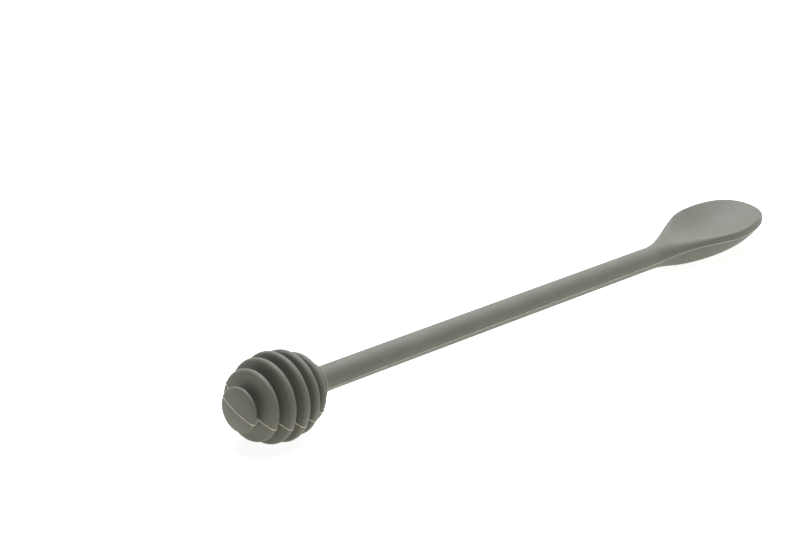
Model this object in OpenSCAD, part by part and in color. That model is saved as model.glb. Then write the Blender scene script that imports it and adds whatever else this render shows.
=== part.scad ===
// Double-ended honey dipper: a ridged head at one end and a small spoon at the other.
// One silicone moulding covers a stiff core that runs from inside the head into the spoon.
// The dipper lies on its largest ridge and on the belly of the spoon, with the long axis along X.
// Inside the modules the head's centre is at the origin and the axis runs along +X to the spoon.

/* [Head] */
// Diameter over the largest ridge
head_d = 30; // [26:0.5:40]
// Length of the ridged head along the axis
head_len = 35.4; // [35:0.2:42]
// Length of the oval on which the ridge edges lie
ridge_oval_len = 38; // [36.5:0.5:46]
// Distance from one ridge to the next
ridge_pitch = 5.3; // [4.8:0.05:5.4]
// Ridges on each side of the largest one
ridges_per_side = 3; // [1:1:3]
// Radius of the rounded edge of a ridge
ridge_edge_r = 0.9; // [0.5:0.05:1.2]
// Depth of the grooves between the ridges
groove_depth = 5.2; // [3.5:0.1:5.8]
// Radius at the bottom of a groove
groove_r = 0.3; // [0.2:0.05:0.6]

/* [Handle] */
// Diameter of the round handle
handle_d = 8.75; // [7.5:0.05:10.5]
// Distance from the head's centre to where the handle starts to widen into the spoon
handle_reach = 204; // [120:1:260]
// Radius of the hollow between the head and the handle
root_r = 3; // [1.5:0.25:4]

/* [Spoon] */
// Length from the start of the widening to the tip
spoon_len = 69; // [60:0.5:95]
// Greatest width of the spoon
spoon_w = 29; // [24:0.5:40]
// Distance from the start of the widening to the greatest width
spoon_wide_at = 42.5; // [36:0.5:48]
// Height of the moulding line above the handle's axis along the middle of the spoon
spoon_rise = 4.5; // [4:0.1:9]
// Further rise of the moulding line from there to the tip
tip_lift = 1.4; // [0.4:0.1:3]
// Height of the side wall above the moulding line
rim_h = 2.9; // [2.3:0.1:4]
// Width of the rounded lip seen from above
rim_w = 1.2; // [0.8:0.1:2.4]
// Distance ahead of the greatest width at which the lip has its full shape
rim_lead = 8; // [4:0.5:12]
// Depth of the hollow in the middle of the spoon
dish_depth = 4.5; // [2:0.1:5.3]
// Distance from the start of the widening to the start of the hollow
dish_start = 2; // [0.5:0.5:12]
// Distance ahead of the greatest width at which the hollow is at its deepest
dish_lead = 1; // [0:0.5:8]
// Depth of the belly below the handle's axis
belly_drop = 6.6; // [5.5:0.1:9]
// Distance from the start of the widening to the lowest point of the belly
belly_at = 22; // [16:0.5:30]

/* [Core] */
// Silicone around the core in the handle
skin_t = 2.1; // [1.5:0.1:2.6]
// Silicone between the end of the core and the front of the head
nose_skin = 5; // [4:0.5:9]
// Height of a locking collar above the core
collar_h = 1.8; // [1:0.1:2.4]
// Length of a locking collar
collar_len = 2; // [1.2:0.1:3]
// Distance that the round core runs on past the start of the widening
rod_past = 10; // [7:0.5:12]
// Length over which the round core thins down to the blade
taper_len = 8; // [5:0.5:12]
// Thickness of the blade inside the spoon
blade_t = 2.2; // [1.6:0.1:3]
// Distance from the start of the widening to the narrow end of the blade
blade_start = 4; // [1:0.5:6]
// Distance from the spoon's greatest width back to the centre of the blade's round end
blade_back = 6; // [4:0.5:10]
// Silicone from the edge of the blade to the side of the spoon
blade_edge = 6.2; // [5:0.1:8]
// Diameter of the holes that the silicone fills to grip the blade
key_d = 3.4; // [2.5:0.1:4]
// Number of those holes
key_count = 3; // [1:1:3]
// Distance between the holes
key_pitch = 6; // [5:0.5:7]

/* [Hidden] */
$fn = 120;
silicone_colour = "#6f6c62";
core_colour = "#d9d6cc";
// Points around one section of the spoon, how many degrees they draw together towards the lip,
// and sections along the spoon
section_points = 56;
point_pull = 15;
spoon_sections = 36;
// The spoon starts this far inside the handle's round. The end of the handle runs on into the spoon
// by the lap and gets thinner by the taper on the way, so that it ends inside the spoon.
joint_step = 0.06;
joint_lap = 2;
joint_taper = 0.3;
// The narrow end of the blade stays this far inside the round core
neck_inset = 0.2;
// Step between the places that are tried for the point on which the spoon's belly rests
contact_step = 0.1;
// Cutting bodies reach this far past what they cut
past = 1;
// Bends of the oval of ridge edges, of the moulding line, of the spoon's outline and keel towards the
// tip, and of the hollow's walls
ridge_bend = 1.85;
line_bend = 6.5;
tip_bend = 0.4;
keel_bend = 1.3;
dish_bend = 1.3;

head_r = head_d / 2;
handle_r = handle_d / 2;
start_r = handle_r - joint_step;
tip_x = handle_reach + spoon_len;
wide_x = handle_reach + spoon_wide_at;
belly_x = handle_reach + belly_at;
tip_z = spoon_rise + tip_lift;

// Ridge i stands i pitches from the largest one, and its edge lies on an oval a little leaner than an ellipse
function ridge_x(i) = i * ridge_pitch;
function ridge_r(i) = head_r * pow(1 - pow(abs(2 * ridge_x(i) / ridge_oval_len), ridge_bend), 1 / ridge_bend);
ridge_list = [for (i = [-ridges_per_side : ridges_per_side]) i];
// Centres of the rounded ridge edges
edge_centres = [for (i = ridge_list) [ridge_x(i), ridge_r(i) - ridge_edge_r]];
// Centres of the hollows behind each ridge: the grooves, and last the hollow at the handle's root
last_ridge_x = ridge_x(ridges_per_side);
hollow_centres = [for (i = ridge_list)
    i < ridges_per_side
        ? [(ridge_x(i) + ridge_x(i + 1)) / 2, (ridge_r(i) + ridge_r(i + 1)) / 2 - groove_depth + groove_r]
        : [last_ridge_x + root_r + ridge_edge_r, handle_r + root_r]];
hollow_radii = [for (i = ridge_list) i < ridges_per_side ? groove_r : root_r];
// The dome at the front is an arc that ends on the axis and touches the first ridge's edge
first_edge = edge_centres[0];
dome_front = head_len / 2;
dome_x = (pow(first_edge[0], 2) + pow(first_edge[1], 2) - pow(dome_front - ridge_edge_r, 2))
    / (2 * (dome_front - ridge_edge_r + first_edge[0]));
dome_r = dome_front + dome_x;
dome_touch = [dome_x, 0] + (first_edge - [dome_x, 0]) * dome_r / (dome_r - ridge_edge_r);

// Touching points of the straight flank between a ridge's edge circle and a hollow's circle:
// the flank leaves the edge at its first point and meets the hollow at its second.
// Side is 1 where the hollow lies behind the ridge and -1 where it lies in front.
function turned(v, angle) = [v[0] * cos(angle) - v[1] * sin(angle), v[0] * sin(angle) + v[1] * cos(angle)];
function flank(edge, edge_r, hollow, hollow_r, side) =
    let (
        way = hollow - edge,
        gap = norm(way),
        lean = acos((edge_r + hollow_r) / gap),
        out = turned(way / gap, side * lean)
    ) [edge + out * edge_r, hollow - out * hollow_r];

// Smooth step from 0 to 1, and the value between two others
function ease(t) = (1 - cos(180 * min(max(t, 0), 1))) / 2;
function mix(a, b, t) = a + (b - a) * t;

// Half the spoon's width at a distance x along the axis
function along(x) = min(max((x - handle_reach) / spoon_len, 0), 1);
function past_wide(x) = min(max((x - wide_x) / (tip_x - wide_x), 0), 1);
function half_width(x) =
    x < wide_x
        ? mix(start_r, spoon_w / 2, ease((x - handle_reach) / spoon_wide_at))
        : spoon_w / 2 * pow(1 - pow(past_wide(x), 2), tip_bend);
// Height of the moulding line, where the spoon is widest
function line_z(x) =
    spoon_rise * (1 - pow(1 - along(x), line_bend) * (1 + line_bend * along(x)))
    + tip_lift * ease(2 * along(x) - 1);
// Height of the lowest point of the section
function keel_z(x) =
    x < belly_x
        ? -mix(start_r, belly_drop, ease((x - handle_reach) / belly_at))
        : mix(-belly_drop, tip_z, 1 - pow(1 - pow((x - belly_x) / (tip_x - belly_x), 2), keel_bend));
// How far the top has turned from the handle's round into the spoon's side wall
function spoon_share(x) = ease((x - handle_reach) / (spoon_wide_at - rim_lead));
function top_h(x) = mix(start_r, rim_h, spoon_share(x));
// Place of a point between the middle of the spoon, 0, and its outline, 1
function reach(x, side) = sqrt(pow(past_wide(x), 2) + (1 - pow(past_wide(x), 2)) * side * side);
// Place where the rounded lip starts, the height of the side wall there, and the depth of the hollow
function rim_start(x) = (1 - rim_w / max(half_width(min(x, wide_x)), rim_w)) * spoon_share(x);
function rim_shape(x, r) = sqrt(max(1 - pow(max(r - rim_start(x), 0) / (1 - rim_start(x)), 2), 0));
function dish_share(x) = ease((x - handle_reach - dish_start) / (spoon_wide_at - dish_lead - dish_start));
function dish(x, r) = dish_depth * dish_share(x) * pow(max(1 - r * r, 0), dish_bend);
function upper_z(x, side) = line_z(x) + top_h(x) * rim_shape(x, reach(x, side)) - dish(x, reach(x, side));
function lower_z(x, side) = line_z(x) - (line_z(x) - keel_z(x)) * sqrt(max(1 - side * side, 0));
function section(x) = [for (k = [0 : section_points - 1])
    let (turn = 360 * k / section_points, side = cos(turn - point_pull * sin(2 * turn)))
    [x, half_width(x) * side, turn <= 180 ? upper_z(x, side) : lower_z(x, side)]];

// The spoon's sections stand closer together towards the tip
section_xs = [for (k = [0 : spoon_sections - 1]) handle_reach + spoon_len * sin(90 * k / spoon_sections)];

// Angle of the axis when the dipper lies on its largest ridge and on the spoon's belly
rest_tilt = atan(min([for (x = [belly_x : contact_step : wide_x]) (head_r + keel_z(x)) / x]));
rest_lift = (head_r - ridge_edge_r) * cos(rest_tilt) + ridge_edge_r;
front_x = dome_x * cos(rest_tilt) - dome_r;
back_x = tip_x * cos(rest_tilt) + tip_z * sin(rest_tilt);

// Core inside the head, the handle and the spoon
core_r = handle_r - skin_t;
nose_x = nose_skin - head_len / 2;
rod_end_x = handle_reach + rod_past;
blade_start_x = handle_reach + blade_start;
blade_x = wide_x - blade_back;
blade_r = spoon_w / 2 - blade_edge;
neck_r = sqrt(pow(core_r, 2) - pow(blade_t / 2, 2)) - neck_inset;
blade_lean = asin((blade_r - neck_r) / (blade_x - blade_start_x));
collar_xs = [for (i = [-1 : 1]) ridge_x(i)];

// Lay the dipper down with the middle of its length over the origin
module lying() {
    translate([-(front_x + back_x) / 2, 0, rest_lift])
        rotate([0, rest_tilt, 0]) children();
}

// Body of revolution along X, from an outline drawn with its distance along X as the first value
module turned_body() {
    rotate([0, 90, 0])
        rotate_extrude()
            intersection() {
                mirror([1, 0]) rotate([0, 0, 90]) children();
                translate([0, -head_len]) square([head_d, tip_x + 2 * head_len]);
            }
}

// Straight-sided outline of the head and handle, through the ends of all flanks
module head_outline() {
    last = len(ridge_list) - 1;
    polygon(concat(
        [[dome_touch[0], 0], dome_touch],
        [for (i = [0 : last]) each concat(
            i == 0 ? [] : [for (p = [1, 0])
                flank(edge_centres[i], ridge_edge_r, hollow_centres[i - 1], hollow_radii[i - 1], -1)[p]],
            flank(edge_centres[i], ridge_edge_r, hollow_centres[i], hollow_radii[i], 1))],
        [[hollow_centres[last][0], handle_r], [handle_reach, handle_r],
            [handle_reach + joint_lap, handle_r - joint_taper], [handle_reach + joint_lap, 0]]
    ));
}

// Outline with its rounded ridge edges, rounded grooves and domed front
module head_profile() {
    difference() {
        union() {
            head_outline();
            for (c = edge_centres) translate(c) circle(ridge_edge_r);
            intersection() {
                translate([dome_x, 0]) circle(dome_r);
                translate([-head_len, 0]) square([head_len + dome_touch[0], head_d]);
            }
        }
        for (i = [0 : len(hollow_centres) - 1]) translate(hollow_centres[i]) circle(hollow_radii[i]);
    }
}

// Spoon lofted through its sections to the tip
module spoon_loft() {
    rings = [for (x = section_xs) section(x)];
    n = section_points;
    last = len(rings) - 1;
    tip = n * len(rings);
    polyhedron(
        points = concat([for (r = rings) each r], [[tip_x, 0, tip_z]]),
        faces = concat(
            [[for (k = [0 : n - 1]) k]],
            [for (r = [0 : last - 1]) for (k = [0 : n - 1]) each
                let (a = r * n + k, b = r * n + (k + 1) % n) [[a, a + n, b], [b, a + n, b + n]]],
            [for (k = [0 : n - 1]) [last * n + k, tip, last * n + (k + 1) % n]]
        )
    );
}

// Round core with a rounded nose and its locking collars, thinning down at the spoon
module core_rod() {
    rotate([0, 90, 0])
        rotate_extrude() {
            translate([0, nose_x + core_r]) intersection() {
                circle(core_r);
                translate([0, -core_r]) square([core_r, core_r]);
            }
            translate([0, nose_x + core_r]) square([core_r, rod_end_x - nose_x - core_r]);
            polygon([[0, rod_end_x], [core_r, rod_end_x], [blade_t / 2, rod_end_x + taper_len],
                [0, rod_end_x + taper_len]]);
            for (x = collar_xs)
                translate([0, x - collar_len / 2]) square([core_r + collar_h, collar_len]);
        }
}

// Flat blade that widens into the spoon, with the holes that the silicone fills
module core_blade() {
    difference() {
        translate([0, 0, -blade_t / 2]) linear_extrude(blade_t) {
            translate([blade_x, 0]) circle(blade_r);
            translate([blade_start_x, 0]) circle(neck_r);
            polygon([for (side = [1, -1]) for (end = side > 0 ? [0, 1] : [1, 0])
                let (x = end == 0 ? blade_start_x : blade_x, r = end == 0 ? neck_r : blade_r)
                    [x - r * sin(blade_lean), side * r * cos(blade_lean)]]);
        }
        for (k = [0 : key_count - 1])
            translate([blade_x - k * key_pitch, 0, -blade_t / 2 - past])
                cylinder(d = key_d, h = blade_t + 2 * past);
    }
}

module core_form() {
    core_rod();
    core_blade();
}

module silicone_body() {
    color(silicone_colour) lying() difference() {
        union() {
            turned_body() head_profile();
            spoon_loft();
        }
        core_form();
    }
}

module stiffening_core() {
    color(core_colour) lying() core_form();
}

silicone_body();
stiffening_core();
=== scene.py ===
"""Looks of the double-ended honey dipper: silicone skin, moulding flash, light and camera."""
import math

import bpy
import numpy as np
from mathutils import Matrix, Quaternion, Vector


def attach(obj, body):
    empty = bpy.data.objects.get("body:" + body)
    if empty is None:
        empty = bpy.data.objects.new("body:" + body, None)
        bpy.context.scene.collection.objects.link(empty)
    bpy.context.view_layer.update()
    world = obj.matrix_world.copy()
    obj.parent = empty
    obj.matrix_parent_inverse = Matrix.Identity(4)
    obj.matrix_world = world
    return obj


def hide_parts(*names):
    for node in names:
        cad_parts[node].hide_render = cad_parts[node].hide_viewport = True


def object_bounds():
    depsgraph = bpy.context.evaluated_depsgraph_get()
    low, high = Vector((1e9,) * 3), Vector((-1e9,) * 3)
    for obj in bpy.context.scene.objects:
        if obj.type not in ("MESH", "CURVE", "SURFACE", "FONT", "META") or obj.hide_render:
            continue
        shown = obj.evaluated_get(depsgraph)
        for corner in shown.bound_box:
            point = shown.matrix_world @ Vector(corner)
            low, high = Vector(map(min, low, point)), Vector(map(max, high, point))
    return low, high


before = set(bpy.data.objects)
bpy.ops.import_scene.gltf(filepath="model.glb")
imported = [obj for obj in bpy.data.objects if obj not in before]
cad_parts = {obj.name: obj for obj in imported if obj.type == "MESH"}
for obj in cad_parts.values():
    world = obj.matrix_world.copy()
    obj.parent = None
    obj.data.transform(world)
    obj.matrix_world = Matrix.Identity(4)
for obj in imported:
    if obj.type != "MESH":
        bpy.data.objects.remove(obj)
cad_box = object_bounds()

# Camera of the photograph: its place, the point that it looks at and the nearest distance that it draws,
# in metres; its roll, in degrees; its lens and sensor, in millimetres
CAMERA_AT = Vector((-0.56115, -0.41123, 0.33285))
CAMERA_AIM = Vector((-0.01587, 0.04748, 0.01200))
CAMERA_NEAREST = 0.01
CAMERA_ROLL = 5.417
CAMERA_LENS = 95.36
CAMERA_SENSOR = 36.0

# Sizes of the dipper in millimetres. The axis starts at the head's centre and runs through the handle to
# the spoon, and heights are measured from it. The sizes are the CAD part's, apart from RIDGE_EDGE_R: all
# ridges but the first are rounder here.
MM = 0.001
HEAD_D = 30.0
HEAD_LEN = 35.4
RIDGE_PITCH = 5.3
RIDGES_PER_SIDE = 3
RIDGE_OVAL_LEN = 38.0
FIRST_EDGE_R = 0.9
RIDGE_EDGE_R = 1.3
GROOVE_DEPTH = 5.2
GROOVE_R = 0.3
HANDLE_D = 8.75
HANDLE_REACH = 204.0
ROOT_R = 3.0
SPOON_LEN = 69.0
SPOON_W = 29.0
SPOON_WIDE_AT = 42.5
SPOON_RISE = 4.5
TIP_LIFT = 1.4
RIM_H = 2.9
RIM_W = 1.2
RIM_LEAD = 8.0
DISH_DEPTH = 4.5
DISH_START = 2.0
DISH_LEAD = 1.0
BELLY_DROP = 6.6
BELLY_AT = 22.0

# Exponents of the curved outlines: the oval of the ridges, the spoon's moulding line, its tip seen from
# above, its keel and its hollow
RIDGE_BEND = 1.85
LINE_BEND = 6.5
TIP_BEND = 0.4
KEEL_BEND = 1.3
DISH_BEND = 1.3

HEAD_R = HEAD_D / 2
HANDLE_R = HANDLE_D / 2
TIP_X = HANDLE_REACH + SPOON_LEN
WIDE_X = HANDLE_REACH + SPOON_WIDE_AT
BELLY_X = HANDLE_REACH + BELLY_AT
TIP_Z = SPOON_RISE + TIP_LIFT

# The dome's skin lies this far inside the CAD part's front, so that the flash over it still fits in the box
DOME_INSET = 0.14

# Roll of the moulding flash about the axis, in degrees, at places along the axis
ROLL_AT = (-18.0, 15.0, 40.0, 80.0, 204.0, 226.0)
ROLL = (17.5, 20.0, 11.0, 6.5, 5.0, 0.0)

# Where the mould halves meet, the skin behind the head swells to a soft edge: how far out, over what share
# of its half width, and where along the axis it fades in and out
SEAM_SWELL = 0.10
SEAM_REACH = 0.25
SEAM_AT = (18.0, 26.0, 262.0, 271.0)
SEAM_SHARE = (0.0, 1.0, 1.0, 0.0)

# Moulding flash: a fine fin along the parting line, which closes the bottoms of the grooves as thin webs.
# Its outline in the grooves is shallower than the skin's. The fin's corners are pairs of across and out,
# first at its foot on the skin and then at its crest on that outline. Behind the head its width is only
# FIN_SHARE of that.
WEB_EDGE_R = 1.3
WEB_DEPTH = 3.3
WEB_R = 0.25
FIN_FOOT = ((0.24, -0.10), (-0.24, -0.10))
FIN_CREST = ((-0.2, 0.0), (-0.16, 0.14), (0.16, 0.14), (0.2, 0.0))
FIN_SHARE = 0.5

# Fineness of the skin: points around it, and steps along its parts. Points closer together than SAME_POINT
# count as one, and the place where the belly rests is looked for in steps of BELLY_STEP.
AROUND = 288
DOME_STEPS = 48
EDGE_STEPS = 12
GROOVE_STEPS = 8
FLANK_STEPS = 6
HANDLE_STEPS = 90
SPOON_STEPS = 150
SAME_POINT = 1e-6
BELLY_STEP = 0.05

SPOON_XS = HANDLE_REACH + SPOON_LEN * np.sin(np.linspace(0, math.pi / 2, SPOON_STEPS + 1)[:-1])
DOME_POLE = np.array([DOME_INSET - HEAD_LEN / 2, 0.0, 0.0])
SPOON_TIP = np.array([TIP_X, 0.0, TIP_Z])


def ease(t):
    """Smooth step from 0 to 1 while t goes from 0 to 1."""
    return (1 - np.cos(np.pi * np.clip(t, 0, 1))) / 2


def between(a, b, share):
    return a + (b - a) * share


def unit(vectors):
    return vectors / np.linalg.norm(vectors, axis=-1, keepdims=True)


def roll_angle(x):
    """Roll of the parting line at x, in radians."""
    return np.radians(np.interp(x, ROLL_AT, ROLL))


# Outline of the head and handle

def ridge_x(i):
    return i * RIDGE_PITCH


def ridge_r(i):
    return HEAD_R * (1 - abs(2 * ridge_x(i) / RIDGE_OVAL_LEN) ** RIDGE_BEND) ** (1 / RIDGE_BEND)


def flank(edge, edge_r, hollow, hollow_r, side):
    """Ends of the straight flank that touches a ridge's edge circle and a hollow's circle."""
    way = hollow - edge
    gap = np.linalg.norm(way)
    lean = side * math.acos((edge_r + hollow_r) / gap)
    out = np.array([[math.cos(lean), -math.sin(lean)], [math.sin(lean), math.cos(lean)]]) @ (way / gap)
    return edge + out * edge_r, hollow - out * hollow_r


def arc(centre, radius, start, end, steps, turn):
    """Points from start to end round the centre; turn is 1 counterclockwise and -1 clockwise."""
    first = math.atan2(start[1] - centre[1], start[0] - centre[0])
    last = math.atan2(end[1] - centre[1], end[0] - centre[0])
    sweep = (turn * (last - first)) % (2 * math.pi) * turn
    angles = first + sweep * np.linspace(0, 1, steps + 1)
    return [centre + radius * np.array([math.cos(a), math.sin(a)]) for a in angles]


def straight(start, end, steps):
    """Points strictly between two others."""
    return [between(start, end, k / steps) for k in range(1, steps)]


def dome(first_edge):
    """Points of the domed front, and the place where it touches the first ridge's edge circle."""
    front = HEAD_LEN / 2 - DOME_INSET
    inner = front - FIRST_EDGE_R
    dome_x = (first_edge @ first_edge - inner ** 2) / (2 * (inner + first_edge[0]))
    dome_r = front + dome_x
    centre = np.array([dome_x, 0.0])
    touch = centre + (first_edge - centre) * dome_r / (dome_r - FIRST_EDGE_R)
    return arc(centre, dome_r, np.array([-front, 0.0]), touch, DOME_STEPS, -1), touch


def turned_outline(edge_r=RIDGE_EDGE_R, groove_depth=GROOVE_DEPTH, groove_r=GROOVE_R):
    """Points (x, radius) from the pole of the dome to the end of the handle."""
    order = range(-RIDGES_PER_SIDE, RIDGES_PER_SIDE + 1)
    rounding = [FIRST_EDGE_R] + [edge_r] * (len(order) - 1)
    edges = [np.array([ridge_x(i), ridge_r(i) - r]) for i, r in zip(order, rounding)]
    hollows = [np.array([ridge_x(i + 0.5), (ridge_r(i) + ridge_r(i + 1)) / 2 - groove_depth + groove_r])
               for i in order[:-1]]
    hollows.append(np.array([ridge_x(RIDGES_PER_SIDE) + ROOT_R + edge_r, HANDLE_R + ROOT_R]))
    radii = [groove_r] * (len(hollows) - 1) + [ROOT_R]

    points, arrive = dome(edges[0])
    for k, edge in enumerate(edges):
        leave_start, leave_end = flank(edge, rounding[k], hollows[k], radii[k], 1)
        points += arc(edge, rounding[k], arrive, leave_start, EDGE_STEPS, -1)
        points += straight(leave_start, leave_end, FLANK_STEPS)
        if k + 1 < len(edges):
            arrive, climb_start = flank(edges[k + 1], rounding[k + 1], hollows[k], groove_r, -1)
            points += arc(hollows[k], groove_r, leave_end, climb_start, GROOVE_STEPS, 1)
            points += straight(climb_start, arrive, FLANK_STEPS)
    root_end = np.array([hollows[-1][0], HANDLE_R])
    points += arc(hollows[-1], ROOT_R, leave_end, root_end, GROOVE_STEPS, 1)
    points += straight(root_end, np.array([HANDLE_REACH, HANDLE_R]), HANDLE_STEPS)
    later = [b for a, b in zip(points, points[1:]) if np.linalg.norm(b - a) > SAME_POINT]
    return np.array([points[0]] + later)


# Forms of the spoon at a distance x along the axis

def past_wide(x):
    """0 up to the spoon's widest place, and from there to 1 at its tip."""
    return np.clip((x - WIDE_X) / (TIP_X - WIDE_X), 0, 1)


def half_width(x):
    back = between(HANDLE_R, SPOON_W / 2, ease((x - HANDLE_REACH) / SPOON_WIDE_AT))
    return np.where(x < WIDE_X, back, SPOON_W / 2 * (1 - past_wide(x) ** 2) ** TIP_BEND)


def line_z(x):
    """Height of the moulding line, which rises out of the axis and lifts once more towards the tip."""
    along = np.clip((x - HANDLE_REACH) / SPOON_LEN, 0, 1)
    rise = SPOON_RISE * (1 - (1 - along) ** LINE_BEND * (1 + LINE_BEND * along))
    return rise + TIP_LIFT * ease(2 * along - 1)


def keel_z(x):
    """Height of the underside's middle, lowest at the belly."""
    back = -between(HANDLE_R, BELLY_DROP, ease((x - HANDLE_REACH) / BELLY_AT))
    share = np.clip((x - BELLY_X) / (TIP_X - BELLY_X), 0, 1)
    return np.where(x < BELLY_X, back, between(-BELLY_DROP, TIP_Z, 1 - (1 - share ** 2) ** KEEL_BEND))


def upper_z(x, side):
    """Height of the rim and the hollow; side goes from -1 to 1 across the spoon."""
    # The handle's round passes over into the rim. Reach is 0 in the middle and 1 at the spoon's outline.
    formed = ease((x - HANDLE_REACH) / (SPOON_WIDE_AT - RIM_LEAD))
    top = between(HANDLE_R, RIM_H, formed)
    reach = np.sqrt(past_wide(x) ** 2 + (1 - past_wide(x) ** 2) * side ** 2)
    lip_start = (1 - RIM_W / half_width(min(x, WIDE_X))) * formed
    over_lip = np.maximum(reach - lip_start, 0) / (1 - lip_start)
    rim = np.sqrt(np.maximum(1 - over_lip ** 2, 0))
    dished = ease((x - HANDLE_REACH - DISH_START) / (SPOON_WIDE_AT - DISH_LEAD - DISH_START))
    bowl = np.maximum(1 - reach ** 2, 0) ** DISH_BEND
    return line_z(x) + top * rim - DISH_DEPTH * dished * bowl


def lower_z(x, side):
    """Height of the underside; side goes from -1 to 1 across the spoon."""
    return line_z(x) - (line_z(x) - keel_z(x)) * np.sqrt(np.maximum(1 - side ** 2, 0))


# Rings of points round the axis

def round_ring(x, radius, angles):
    return np.stack([np.full_like(angles, x), radius * np.cos(angles), radius * np.sin(angles)], axis=-1)


def spoon_ring(x, angles):
    side = np.cos(angles)
    heights = np.where(np.sin(angles) >= 0, upper_z(x, side), lower_z(x, side))
    return np.stack([np.full_like(angles, x), half_width(x) * side, heights], axis=-1)


def seam_share(x):
    """How fully the seam stands out at x: 0 on the head and at the tip, 1 between them."""
    return np.interp(x, SEAM_AT, SEAM_SHARE)


def swollen(ring, base):
    """Ring whose points swell outwards near the parting line, at the base angles 0 and 180 degrees."""
    x = ring[0, 0]
    swell = SEAM_SWELL * seam_share(x) * np.exp(-np.abs(np.sin(base)) / SEAM_REACH)
    return ring + swell[:, None] * round_ring(0.0, 1.0, base + roll_angle(x))


def rings(outline, base):
    """Rings from the dome to the spoon's tip, without these two; base are angles from the parting line."""
    made = [round_ring(x, r, base + roll_angle(x)) for x, r in outline[1:]]
    made += [spoon_ring(x, base + roll_angle(x)) for x in SPOON_XS]
    return [swollen(ring, base) for ring in made]


# Lie of the dipper: it rests on its largest ridge and on the spoon's belly

belly_xs = np.arange(BELLY_X, WIDE_X, BELLY_STEP)
TILT = math.atan(np.min((HEAD_R + keel_z(belly_xs)) / belly_xs))
LIFT = (HEAD_R - FIRST_EDGE_R) * math.cos(TILT) + FIRST_EDGE_R


def lying(points):
    """Points in millimetres along the axis, laid down as the CAD part and kept in its box, in metres."""
    x, y, z = np.moveaxis(np.asarray(points, dtype=float), -1, 0)
    far_end = TIP_X * math.cos(TILT) + TIP_Z * math.sin(TILT)
    shift = cad_box[1][0] / MM - far_end
    placed = [x * math.cos(TILT) + z * math.sin(TILT) + shift,
              y,
              z * math.cos(TILT) - x * math.sin(TILT) + LIFT]
    return np.clip(np.stack(placed, axis=-1) * MM, cad_box[0], cad_box[1])


# Meshes of the pieces

def new_piece(name, vertices, faces, material):
    mesh = bpy.data.meshes.new(name)
    mesh.from_pydata([tuple(v) for v in vertices], [], faces)
    mesh.validate()
    mesh.shade_smooth()
    mesh.materials.append(material)
    piece = bpy.data.objects.new(name, mesh)
    bpy.context.scene.collection.objects.link(piece)
    return piece


def silicone_skin(material):
    made = rings(turned_outline(), np.linspace(0, 2 * math.pi, AROUND, endpoint=False))
    points = np.concatenate([DOME_POLE[None], *made, SPOON_TIP[None]])
    tip = len(points) - 1
    last = tip - AROUND
    faces = []
    for k in range(AROUND):
        after = (k + 1) % AROUND
        faces.append((0, 1 + after, 1 + k))
        faces.append((tip, last + k, last + after))
    for here in range(1, last, AROUND):
        there = here + AROUND
        for k in range(AROUND):
            after = (k + 1) % AROUND
            faces.append((here + k, here + after, there + after, there + k))
    return new_piece("silicone_skin", lying(points), faces, material)


def parting_line(outline):
    """Closed path from the spoon's tip along the far side to the dome's pole and back on the near side."""
    far, near = (np.concatenate(rings(outline, np.array([turn]))) for turn in (0.0, math.pi))
    return np.concatenate([SPOON_TIP[None], far[::-1], DOME_POLE[None], near])


def moulding_flash(material):
    foot = parting_line(turned_outline())
    crest = parting_line(turned_outline(WEB_EDGE_R, WEB_DEPTH, WEB_R))
    along = unit(np.roll(crest, -1, axis=0) - np.roll(crest, 1, axis=0))
    roll = roll_angle(crest[:, 0])
    across = np.stack([np.zeros_like(roll), -np.sin(roll), np.cos(roll)], axis=-1)
    out = unit(np.cross(along, across))
    width = between(1.0, FIN_SHARE, seam_share(crest[:, 0]))[:, None]
    sides = [line + sideways * width * across + outwards * out
             for line, fin in ((foot, FIN_FOOT), (crest, FIN_CREST)) for sideways, outwards in fin]
    points = lying(np.stack(sides, axis=1).reshape(-1, 3))
    count = len(sides)
    faces = []
    for here in range(0, len(points), count):
        there = (here + count) % len(points)
        for k in range(count):
            after = (k + 1) % count
            faces.append((here + k, there + k, there + after, here + after))
    return new_piece("moulding_flash", points, faces, material)


# Nodes that the materials are made of

def opaque(colour):
    return (*colour, 1.0)


def material_tree(name):
    material = bpy.data.materials.new(name)
    material.use_nodes = True
    tree = material.node_tree
    return material, tree, tree.nodes["Principled BSDF"]


def node(tree, kind, **values):
    made = tree.nodes.new(kind)
    for key, value in values.items():
        setattr(made, key, value)
    return made


def object_coordinates(tree):
    return node(tree, "ShaderNodeTexCoord").outputs["Object"]


def noise(tree, coords, scale, detail):
    made = node(tree, "ShaderNodeTexNoise")
    made.inputs["Scale"].default_value = scale
    made.inputs["Detail"].default_value = detail
    tree.links.new(coords, made.inputs["Vector"])
    return made.outputs["Fac"]


def fade(tree, value, places, levels=(0.0, 1.0)):
    """Grey that goes from the first level to the second while the value passes between the two places."""
    made = node(tree, "ShaderNodeValToRGB")
    for element, place, level in zip(made.color_ramp.elements, places, levels):
        element.position = place
        element.color = (level, level, level, 1.0)
    tree.links.new(value, made.inputs["Fac"])
    return made.outputs["Color"]


def mixed_colour(tree, factor, a, b, blend="MIX"):
    """Colour a where the factor is 0 and b where it is 1; each of the three is a value or a socket."""
    made = node(tree, "ShaderNodeMix", data_type="RGBA", blend_type=blend)
    for value, socket in ((factor, "Factor"), (a, "A"), (b, "B")):
        target = next(s for s in made.inputs if s.name == socket and s.enabled)
        if isinstance(value, bpy.types.NodeSocket):
            tree.links.new(value, target)
        else:
            target.default_value = value
    return next(s for s in made.outputs if s.enabled)


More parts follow.
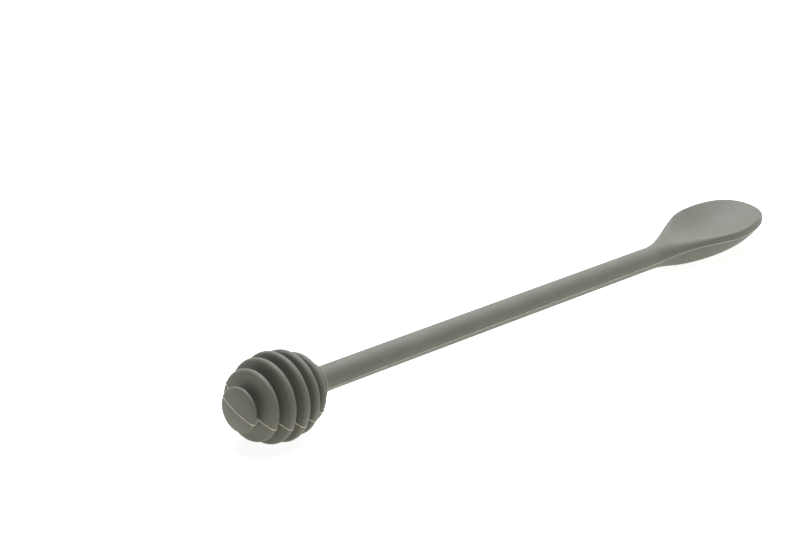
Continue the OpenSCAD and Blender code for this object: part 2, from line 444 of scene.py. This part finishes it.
def bump(tree, height, depth, below=None):
    """Normal of a surface whose heights span the depth, in metres, on top of the normal below."""
    made = node(tree, "ShaderNodeBump")
    made.inputs["Strength"].default_value = 1.0
    made.inputs["Distance"].default_value = depth
    tree.links.new(height, made.inputs["Height"])
    if below is not None:
        tree.links.new(below, made.inputs["Normal"])
    return made.outputs["Normal"]


# Octaves of detail in the noises. The scales below are in features per metre, the depths in metres, and a
# fade is the pair of values that a grey runs between.
FULL_DETAIL = 4.0
LOW_DETAIL = 2.0

# Silicone: warm grey, a little lighter and darker in soft clouds, with fine grain, uneven gloss and a few
# specks of dust
SILICONE = (0.185, 0.184, 0.158)
SILICONE_CLOUD = (0.205, 0.204, 0.178)
SILICONE_CLOUD_SCALE = 90.0
SILICONE_CLOUD_FADE = (0.35, 0.70)
SILICONE_GLOSS_SCALE = 700.0
SILICONE_GLOSS_FADE = (0.30, 0.70)
SILICONE_ROUGHNESS = (0.52, 0.62)
SILICONE_GRAIN_SCALE = 5200.0
SILICONE_GRAIN_DEPTH = 0.00002
SILICONE_RIPPLE_SCALE = 420.0
SILICONE_RIPPLE_DEPTH = 0.00003
SILICONE_IOR = 1.41
SILICONE_SHEEN = 0.12
SILICONE_SHEEN_ROUGHNESS = 0.5

# Dust: a speck in the middle of some cells. Its edge fades between two distances, as shares of a cell, and
# the cells with the brightest of their random colours have one.
DUST = (0.30, 0.29, 0.26)
DUST_CELL_SCALE = 260.0
DUST_SPECK_FADE = (0.03, 0.06)
DUST_CHOICE_FADE = (0.72, 0.75)


def dust_specks(tree, coords):
    """1 on a speck of dust and 0 elsewhere."""
    cells = node(tree, "ShaderNodeTexVoronoi")
    cells.inputs["Scale"].default_value = DUST_CELL_SCALE
    tree.links.new(coords, cells.inputs["Vector"])
    dots = fade(tree, cells.outputs["Distance"], DUST_SPECK_FADE, levels=(1.0, 0.0))
    chosen = fade(tree, cells.outputs["Color"], DUST_CHOICE_FADE)
    return mixed_colour(tree, 1.0, dots, chosen, "MULTIPLY")


def silicone_material():
    material, tree, shader = material_tree("silicone")
    coords = object_coordinates(tree)
    clouds = fade(tree, noise(tree, coords, SILICONE_CLOUD_SCALE, FULL_DETAIL), SILICONE_CLOUD_FADE)
    clean = mixed_colour(tree, clouds, opaque(SILICONE), opaque(SILICONE_CLOUD))
    dusty = mixed_colour(tree, dust_specks(tree, coords), clean, opaque(DUST))
    tree.links.new(dusty, shader.inputs["Base Color"])

    gloss = noise(tree, coords, SILICONE_GLOSS_SCALE, FULL_DETAIL)
    tree.links.new(fade(tree, gloss, SILICONE_GLOSS_FADE, SILICONE_ROUGHNESS), shader.inputs["Roughness"])
    grain = bump(tree, noise(tree, coords, SILICONE_GRAIN_SCALE, LOW_DETAIL), SILICONE_GRAIN_DEPTH)
    ripple = noise(tree, coords, SILICONE_RIPPLE_SCALE, LOW_DETAIL)
    tree.links.new(bump(tree, ripple, SILICONE_RIPPLE_DEPTH, grain), shader.inputs["Normal"])
    shader.inputs["IOR"].default_value = SILICONE_IOR
    shader.inputs["Sheen Weight"].default_value = SILICONE_SHEEN
    shader.inputs["Sheen Roughness"].default_value = SILICONE_SHEEN_ROUGHNESS
    return material


# Flash: the same silicone, so thin that it lets light through and looks pale. That light is painted: the
# opaque fin gets a pale colour of its own, in soft clouds of two tones, in place of light shining through
# it.
FLASH_PAINTED_LIGHT = (0.82, 0.81, 0.70)
FLASH_PAINTED_LIGHT_DIM = (0.62, 0.61, 0.52)
FLASH_CLOUD_SCALE = 500.0
FLASH_CLOUD_FADE = (0.35, 0.65)
FLASH_GRAIN_SCALE = 4000.0
FLASH_GRAIN_DEPTH = 0.00002
FLASH_ROUGHNESS = 0.6


def flash_material():
    material, tree, shader = material_tree("silicone_flash")
    coords = object_coordinates(tree)
    clouds = fade(tree, noise(tree, coords, FLASH_CLOUD_SCALE, FULL_DETAIL), FLASH_CLOUD_FADE)
    # Painted light: the flash's pale colour stands in for light shining through the thin fin
    colour = mixed_colour(tree, clouds, opaque(FLASH_PAINTED_LIGHT), opaque(FLASH_PAINTED_LIGHT_DIM))
    tree.links.new(colour, shader.inputs["Base Color"])
    grain = noise(tree, coords, FLASH_GRAIN_SCALE, LOW_DETAIL)
    tree.links.new(bump(tree, grain, FLASH_GRAIN_DEPTH), shader.inputs["Normal"])
    shader.inputs["Roughness"].default_value = FLASH_ROUGHNESS
    shader.inputs["IOR"].default_value = SILICONE_IOR
    return material


# Nylon of the stiff core: undyed, slightly mottled
NYLON = (0.70, 0.68, 0.61)
NYLON_DARK = (0.62, 0.60, 0.53)
NYLON_CLOUD_SCALE = 200.0
NYLON_CLOUD_FADE = (0.35, 0.65)
NYLON_GRAIN_SCALE = 3000.0
NYLON_GRAIN_DEPTH = 0.00002
NYLON_ROUGHNESS = 0.45


def nylon_material():
    material, tree, shader = material_tree("nylon")
    coords = object_coordinates(tree)
    clouds = fade(tree, noise(tree, coords, NYLON_CLOUD_SCALE, FULL_DETAIL), NYLON_CLOUD_FADE)
    colour = mixed_colour(tree, clouds, opaque(NYLON), opaque(NYLON_DARK))
    tree.links.new(colour, shader.inputs["Base Color"])
    grain = noise(tree, coords, NYLON_GRAIN_SCALE, FULL_DETAIL)
    tree.links.new(bump(tree, grain, NYLON_GRAIN_DEPTH), shader.inputs["Normal"])
    shader.inputs["Roughness"].default_value = NYLON_ROUGHNESS
    return material


# Stage, light and camera

# The floor is matt and pale. It glows faintly and warmly onto the object from below, and more strongly where
# it is seen, so that only the object's shadow darkens it.
FLOOR_SIZE = 8.0
FLOOR_COLOUR = (0.90, 0.90, 0.89)
FLOOR_SEEN = (0.89, 0.89, 0.89)
FLOOR_GLOW = (0.38, 0.365, 0.26)
FLOOR_ROUGHNESS = 0.9

# The world is white where it is seen or reflected, and gives no diffuse light
WORLD_SEEN = (1.0, 1.0, 1.0)
WORLD_LIGHT = (0.0, 0.0, 0.0)

# Lamps: name, place in metres, power in watts and colour. They are squares that face LAMP_AIM.
LAMP_SIZE = 0.8
LAMP_AIM = Vector((0.0, 0.0, 0.0))
LAMPS = (("far_right", (0.40, 0.40, 1.06), 14.8, (0.98, 0.97, 1.0)),
         ("top", (0.0, 0.0, 1.20), 5.4, (0.96, 1.0, 0.94)))


def seen_ray(tree):
    """1 for rays of the camera and of reflections and refractions, and 0 for those of diffuse light."""
    rays = node(tree, "ShaderNodeLightPath")
    direct = node(tree, "ShaderNodeMath", operation="MAXIMUM")
    tree.links.new(rays.outputs["Is Camera Ray"], direct.inputs[0])
    tree.links.new(rays.outputs["Is Glossy Ray"], direct.inputs[1])
    seen = node(tree, "ShaderNodeMath", operation="MAXIMUM")
    tree.links.new(direct.outputs[0], seen.inputs[0])
    tree.links.new(rays.outputs["Is Transmission Ray"], seen.inputs[1])
    return seen.outputs[0]


def floor_material():
    material, tree, shader = material_tree("floor")
    shader.inputs["Base Color"].default_value = opaque(FLOOR_COLOUR)
    shader.inputs["Roughness"].default_value = FLOOR_ROUGHNESS
    shader.inputs["Specular IOR Level"].default_value = 0.0
    glow = mixed_colour(tree, seen_ray(tree), opaque(FLOOR_GLOW), opaque(FLOOR_SEEN))
    tree.links.new(glow, shader.inputs["Emission Color"])
    shader.inputs["Emission Strength"].default_value = 1.0
    return material


def add_floor():
    half = FLOOR_SIZE / 2
    corners = [(-half, -half, 0), (half, -half, 0), (half, half, 0), (-half, half, 0)]
    floor = new_piece("floor", corners, [(0, 1, 2, 3)], floor_material())


def add_lamp(name, at, power, colour):
    light = bpy.data.lights.new(name, "AREA")
    light.shape = "SQUARE"
    light.size = LAMP_SIZE
    light.energy = power
    light.color = colour
    lamp = bpy.data.objects.new(name, light)
    lamp.location = at
    lamp.rotation_euler = (LAMP_AIM - Vector(at)).to_track_quat("-Z", "Y").to_euler()
    bpy.context.scene.collection.objects.link(lamp)


def add_world():
    world = bpy.data.worlds.new("studio")
    bpy.context.scene.world = world
    world.use_nodes = True
    tree = world.node_tree
    background = tree.nodes["Background"]
    level = mixed_colour(tree, seen_ray(tree), opaque(WORLD_LIGHT), opaque(WORLD_SEEN))
    tree.links.new(level, background.inputs["Color"])
    background.inputs["Strength"].default_value = 1.0


def add_camera():
    data = bpy.data.cameras.new("camera")
    data.sensor_width = CAMERA_SENSOR
    data.lens = CAMERA_LENS
    data.clip_start = CAMERA_NEAREST
    camera = bpy.data.objects.new("camera", data)
    camera.location = CAMERA_AT
    turn = (CAMERA_AIM - CAMERA_AT).to_track_quat("-Z", "Y")
    roll = Quaternion((0.0, 0.0, 1.0), math.radians(CAMERA_ROLL))
    camera.rotation_mode = "QUATERNION"
    camera.rotation_quaternion = turn @ roll
    bpy.context.scene.collection.objects.link(camera)
    bpy.context.scene.camera = camera


bpy.context.scene.view_settings.view_transform = "Standard"
add_camera()
add_world()
add_floor()
for lamp in LAMPS:
    add_lamp(*lamp)

skin = silicone_skin(silicone_material())
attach(skin, "root")
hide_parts("silicone_body")

flash = moulding_flash(flash_material())
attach(flash, "root")

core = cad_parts["stiffening_core"]
core.data.materials.clear()
core.data.materials.append(nylon_material())
